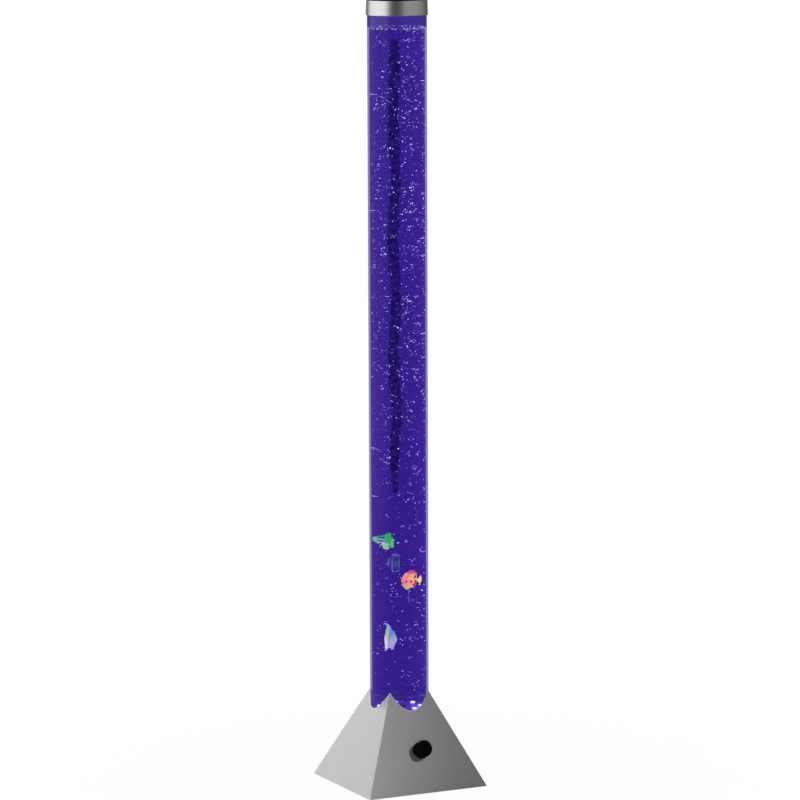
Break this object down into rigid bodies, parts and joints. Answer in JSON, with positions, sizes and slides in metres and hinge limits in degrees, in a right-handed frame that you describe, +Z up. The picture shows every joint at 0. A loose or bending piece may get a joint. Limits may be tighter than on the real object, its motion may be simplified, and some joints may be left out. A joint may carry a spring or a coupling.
{
  "type": "bubble column floor lamp",
  "caption": "Floor lamp: a tall clear tube of water with rising bubbles and toy fish, lit from a pyramid base with a turning knob, under a metal cap.",
  "frame": {"origin": "centre of the footprint, on the surface that the lamp stands on", "axes": "+Z up along the tube; -Y towards the slope that carries the knob"},
  "size_m": [0.2, 0.2, 1.2],
  "materials": {
    "satin_silver": "satin",
    "brushed_band": "satin",
    "bare_steel": "satin",
    "black_moulding": "matte",
    "white_moulding": "satin",
    "black_rubber": "matte",
    "clear_acrylic": "gloss",
    "blue_water": "gloss",
    "bubbling_water": "satin",
    "circuit_white": "satin",
    "circuit_green": "satin",
    "light_lens": "gloss",
    "circuit_parts": "satin",
    "brass_fitting": "satin",
    "clear_hose": "satin",
    "lead_white": "satin",
    "fish_green_skin": "satin",
    "fish_orange_skin": "satin",
    "fish_white_skin": "satin",
    "fish_blue_skin": "satin"
  },
  "bodies": {
    "lamp": {"base_shell": "satin_silver", "corner_lugs": "bare_steel", "base_plate": "black_moulding", "rubber_feet": "black_rubber", "base_screws": "bare_steel", "tube_socket": "black_moulding", "light_tray": "white_moulding", "light_board": "circuit_white", "lights": "light_lens", "tube": "clear_acrylic", "tube_floor": "clear_acrylic", "air_nozzle": "brass_fitting", "nozzle_nut": "brass_fitting", "air_pump": "black_moulding", "pump_pads": "black_rubber", "check_valve": "white_moulding", "air_hoses": "clear_hose", "control_board": "circuit_green", "board_parts": "circuit_parts", "light_lead": "lead_white", "pump_lead": "lead_white", "inlet_lead": "lead_white", "control_lead": "lead_white", "rotary_control": "black_moulding", "bush_nut": "bare_steel", "power_inlet": "black_moulding", "inlet_nut": "bare_steel", "water_column": "blue_water", "air_stream": "bubbling_water"},
    "knob": {"knob": "black_moulding", "control_shaft": "bare_steel"},
    "cap": {"cap_ring": "brushed_band", "cap_lid": "black_moulding"},
    "green_fish": {"fish_green": "fish_green_skin"},
    "orange_fish": {"fish_orange": "fish_orange_skin", "ballast_wire": "bare_steel"},
    "white_fish": {"fish_white": "fish_white_skin"},
    "blue_fish": {"fish_blue": "fish_blue_skin"}
  },
  "joints": [
    {"name": "knob_turn", "type": "hinge", "parent": "lamp", "child": "knob", "pos_m": [0, -0.07186, 0.062], "axis": [0, -0.9067, 0.4217], "range_deg": [-150, 150]},
    {"name": "cap_lift", "type": "slide", "parent": "lamp", "child": "cap", "axis": [0, 0, 1], "range_m": [0, 0.04]},
    {"name": "green_drift", "type": "slide", "parent": "lamp", "child": "green_fish", "axis": [0, 0, 1], "range_m": [-0.219, 0.762], "deforming": ["water_column"]},
    {"name": "orange_drift", "type": "slide", "parent": "lamp", "child": "orange_fish", "axis": [0, 0, 1], "range_m": [-0.139, 0.819], "deforming": ["water_column"]},
    {"name": "white_drift", "type": "slide", "parent": "lamp", "child": "white_fish", "axis": [0, 0, 1], "range_m": [-0.06, 0.904], "deforming": ["water_column"]},
    {"name": "blue_drift", "type": "slide", "parent": "lamp", "child": "blue_fish", "axis": [0, 0, 1], "range_m": [-0.178, 0.799], "deforming": ["water_column"]}
  ]
}
